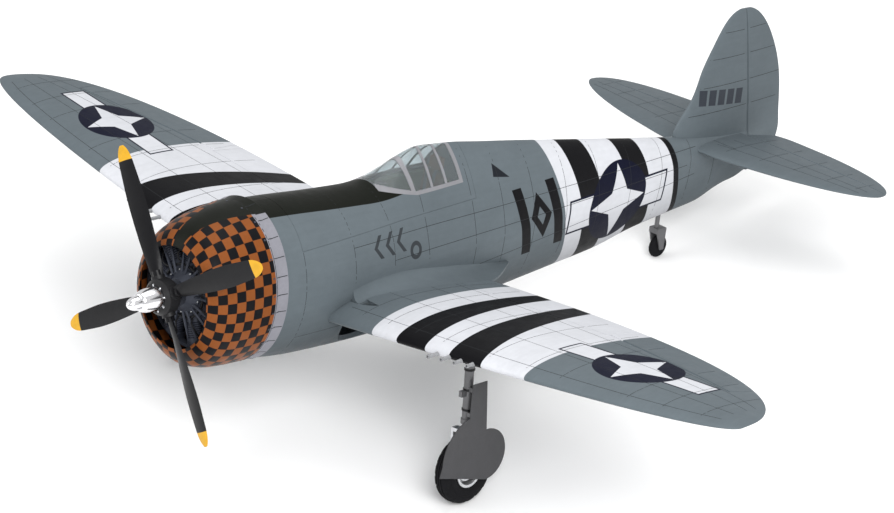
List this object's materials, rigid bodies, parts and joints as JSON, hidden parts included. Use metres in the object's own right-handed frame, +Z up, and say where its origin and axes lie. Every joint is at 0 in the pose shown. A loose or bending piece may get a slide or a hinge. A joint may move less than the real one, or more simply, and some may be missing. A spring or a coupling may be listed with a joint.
{
  "type": "radio controlled warbird plane",
  "caption": "Foam radio controlled single-seat warbird with a radial cowl, elliptical wing, razorback spine, folding wheels and hinged control surfaces, standing on its wheels.",
  "frame": {"origin": "on the ground under the middle of the box, standing on its three wheels", "axes": "+X towards the nose, +Y towards the port wing tip, +Z up"},
  "size_m": [1.1284, 1.2402, 0.4176],
  "materials": {
    "painted_foam": "satin",
    "cowl_plastic": "gloss",
    "dark_plastic": "satin",
    "grey_plastic": "satin",
    "servo_plastic": "satin",
    "clear_plastic": "gloss",
    "chrome_metal": "polished",
    "steel": "satin",
    "aluminium": "satin",
    "carbon": "gloss",
    "plywood": "matte",
    "tyre_rubber": "matte",
    "strap_fabric": "matte",
    "cockpit_green": "matte",
    "battery_wrap": "satin"
  },
  "bodies": {
    "airframe": {"fuselage_left": "painted_foam", "fuselage_right": "painted_foam", "wing_panel_left": "painted_foam", "wing_panel_right": "painted_foam", "wing_spar": "carbon", "wing_screws": "steel", "wing_servos": "servo_plastic", "tail_servos": "servo_plastic", "tailplane": "painted_foam", "fin": "painted_foam", "cowl": "cowl_plastic", "engine_dummy": "dark_plastic", "firewall": "plywood", "motor_mount": "aluminium", "motor_stator": "aluminium", "equipment_tray": "plywood", "battery": "battery_wrap", "battery_strap": "strap_fabric", "speed_controller": "servo_plastic", "receiver": "servo_plastic", "retract_units": "aluminium"},
    "propeller": {"motor_bell": "aluminium", "prop_adapter": "aluminium", "prop_hub": "dark_plastic", "spinner": "chrome_metal", "blades": "dark_plastic"},
    "hatch": {"hatch": "painted_foam", "canopy_frame": "grey_plastic", "canopy_glass": "clear_plastic", "cockpit_tub": "cockpit_green", "seat": "dark_plastic", "instrument_panel": "dark_plastic"},
    "elevators": {"elevator_left": "painted_foam", "elevator_right": "painted_foam", "elevator_joiner": "steel"},
    "rudder": {"rudder": "painted_foam"},
    "tail_steering": {"tail_fork": "grey_plastic"},
    "tail_wheel": {"tail_wheel": "tyre_rubber"},
    "flap_left": {"flap_left": "painted_foam"},
    "flap_arm_left": {"flap_arm_left": "dark_plastic"},
    "flap_pushrod_left": {"flap_pushrod_left": "steel"},
    "flap_right": {"flap_right": "painted_foam"},
    "flap_arm_right": {"flap_arm_right": "dark_plastic"},
    "flap_pushrod_right": {"flap_pushrod_right": "steel"},
    "aileron_left": {"aileron_left": "painted_foam"},
    "aileron_arm_left": {"aileron_arm_left": "dark_plastic"},
    "aileron_pushrod_left": {"aileron_pushrod_left": "steel"},
    "aileron_right": {"aileron_right": "painted_foam"},
    "aileron_arm_right": {"aileron_arm_right": "dark_plastic"},
    "aileron_pushrod_right": {"aileron_pushrod_right": "steel"},
    "gear_left": {"gear_leg_left": "grey_plastic", "gear_door_left": "grey_plastic"},
    "oleo_left": {"oleo_left": "steel"},
    "wheel_left": {"tyre_left": "tyre_rubber", "wheel_hub_left": "grey_plastic"},
    "gear_right": {"gear_leg_right": "grey_plastic", "gear_door_right": "grey_plastic"},
    "oleo_right": {"oleo_right": "steel"},
    "wheel_right": {"tyre_right": "tyre_rubber", "wheel_hub_right": "grey_plastic"}
  },
  "joints": [
    {"name": "propeller_spin", "type": "hinge", "parent": "airframe", "child": "propeller", "pos_m": [0.50933, 0, 0.26801], "axis": [0.9871, 0, 0.1602], "continuous": true},
    {"name": "hatch_lift", "type": "slide", "parent": "airframe", "child": "hatch", "axis": [-0.1602, 0, 0.9871], "range_m": [0, 0.12]},
    {"name": "flap_hinge_left", "type": "hinge", "parent": "airframe", "child": "flap_left", "pos_m": [0.13726, 0.23288, 0.17574], "axis": [-0.0207, -0.9925, -0.1203], "range_deg": [0, 45]},
    {"name": "flap_servo_left", "type": "hinge", "parent": "airframe", "child": "flap_arm_left", "pos_m": [0.18796, 0.23039, 0.18757], "axis": [-0.0207, -0.9925, -0.1203], "range_deg": [0, 45]},
    {"name": "flap_rod_left", "type": "hinge", "parent": "flap_arm_left", "child": "flap_pushrod_left", "pos_m": [0.19026, 0.232, 0.17385], "axis": [-0.0207, -0.9925, -0.1203], "range_deg": [-45, 0]},
    {"name": "flap_hinge_right", "type": "hinge", "parent": "airframe", "child": "flap_right", "pos_m": [0.13726, -0.23288, 0.17574], "axis": [0.0207, -0.9925, 0.1203], "range_deg": [0, 45]},
    {"name": "flap_servo_right", "type": "hinge", "parent": "airframe", "child": "flap_arm_right", "pos_m": [0.18796, -0.23039, 0.18757], "axis": [0.0207, -0.9925, 0.1203], "range_deg": [0, 45]},
    {"name": "flap_rod_right", "type": "hinge", "parent": "flap_arm_right", "child": "flap_pushrod_right", "pos_m": [0.19026, -0.232, 0.17385], "axis": [0.0207, -0.9925, 0.1203], "range_deg": [-45, 0]},
    {"name": "aileron_hinge_left", "type": "hinge", "parent": "airframe", "child": "aileron_left", "pos_m": [0.15202, 0.42777, 0.20746], "axis": [-0.1719, -0.9757, -0.1356], "range_deg": [-25, 25]},
    {"name": "aileron_servo_left", "type": "hinge", "parent": "airframe", "child": "aileron_arm_left", "pos_m": [0.2029, 0.41805, 0.21289], "axis": [-0.1719, -0.9757, -0.1356], "range_deg": [-25, 25]},
    {"name": "aileron_rod_left", "type": "hinge", "parent": "aileron_arm_left", "child": "aileron_pushrod_left", "pos_m": [0.20541, 0.41951, 0.19919], "axis": [-0.1719, -0.9757, -0.1356], "range_deg": [-25, 25]},
    {"name": "aileron_hinge_right", "type": "hinge", "parent": "airframe", "child": "aileron_right", "pos_m": [0.15202, -0.42777, 0.20746], "axis": [0.1719, -0.9757, 0.1356], "range_deg": [-25, 25]},
    {"name": "aileron_servo_right", "type": "hinge", "parent": "airframe", "child": "aileron_arm_right", "pos_m": [0.2029, -0.41805, 0.21289], "axis": [0.1719, -0.9757, 0.1356], "range_deg": [-25, 25]},
    {"name": "aileron_rod_right", "type": "hinge", "parent": "aileron_arm_right", "child": "aileron_pushrod_right", "pos_m": [0.20541, -0.41951, 0.19919], "axis": [0.1719, -0.9757, 0.1356], "range_deg": [-25, 25]},
    {"name": "elevator_hinge", "type": "hinge", "parent": "airframe", "child": "elevators", "pos_m": [-0.48318, 0, 0.12255], "axis": [0, -1, 0], "range_deg": [-25, 25]},
    {"name": "rudder_hinge", "type": "hinge", "parent": "airframe", "child": "rudder", "pos_m": [-0.49427, 0, 0.16787], "axis": [0.0438, 0, 0.999], "range_deg": [-30, 30]},
    {"name": "tail_steer", "type": "hinge", "parent": "airframe", "child": "tail_steering", "pos_m": [-0.32872, 0, 0.05096], "axis": [-0.1602, 0, 0.9871], "range_deg": [-30, 30]},
    {"name": "tail_wheel_spin", "type": "hinge", "parent": "tail_steering", "child": "tail_wheel", "pos_m": [-0.33059, 0, 0.015], "axis": [0, 1, 0], "continuous": true},
    {"name": "gear_retract_left", "type": "hinge", "parent": "airframe", "child": "gear_left", "pos_m": [0.24629, 0.226, 0.19088], "axis": [-0.9871, 0, -0.1602], "range_deg": [0, 90]},
    {"name": "oleo_slide_left", "type": "slide", "parent": "gear_left", "child": "oleo_left", "axis": [-0.1662, -0.0787, 0.983], "range_m": [0, 0.006], "stiffness_N_per_m": 2000, "springref_m": -0.008},
    {"name": "wheel_spin_left", "type": "hinge", "parent": "oleo_left", "child": "wheel_left", "pos_m": [0.27162, 0.238, 0.041], "axis": [-0.0126, 0.9969, 0.0777], "continuous": true},
    {"name": "gear_retract_right", "type": "hinge", "parent": "airframe", "child": "gear_right", "pos_m": [0.24629, -0.226, 0.19088], "axis": [0.9871, 0, 0.1602], "range_deg": [0, 90]},
    {"name": "oleo_slide_right", "type": "slide", "parent": "gear_right", "child": "oleo_right", "axis": [-0.1662, 0.0787, 0.983], "range_m": [0, 0.006], "stiffness_N_per_m": 2000, "springref_m": -0.008},
    {"name": "wheel_spin_right", "type": "hinge", "parent": "oleo_right", "child": "wheel_right", "pos_m": [0.27162, -0.238, 0.041], "axis": [0.0126, 0.9969, -0.0777], "continuous": true}
  ],
  "couplings": [
    {"joint": "flap_hinge_right", "follows": "flap_hinge_left", "ratio": 1},
    {"joint": "flap_servo_left", "follows": "flap_hinge_left", "ratio": 1},
    {"joint": "flap_rod_left", "follows": "flap_hinge_left", "ratio": -1},
    {"joint": "flap_servo_right", "follows": "flap_hinge_left", "ratio": 1},
    {"joint": "flap_rod_right", "follows": "flap_hinge_left", "ratio": -1},
    {"joint": "aileron_hinge_right", "follows": "aileron_hinge_left", "ratio": -1},
    {"joint": "aileron_servo_left", "follows": "aileron_hinge_left", "ratio": 1},
    {"joint": "aileron_rod_left", "follows": "aileron_hinge_left", "ratio": -1},
    {"joint": "aileron_servo_right", "follows": "aileron_hinge_left", "ratio": -1},
    {"joint": "aileron_rod_right", "follows": "aileron_hinge_left", "ratio": 1},
    {"joint": "tail_steer", "follows": "rudder_hinge", "ratio": 1},
    {"joint": "gear_retract_right", "follows": "gear_retract_left", "ratio": 1}
  ]
}
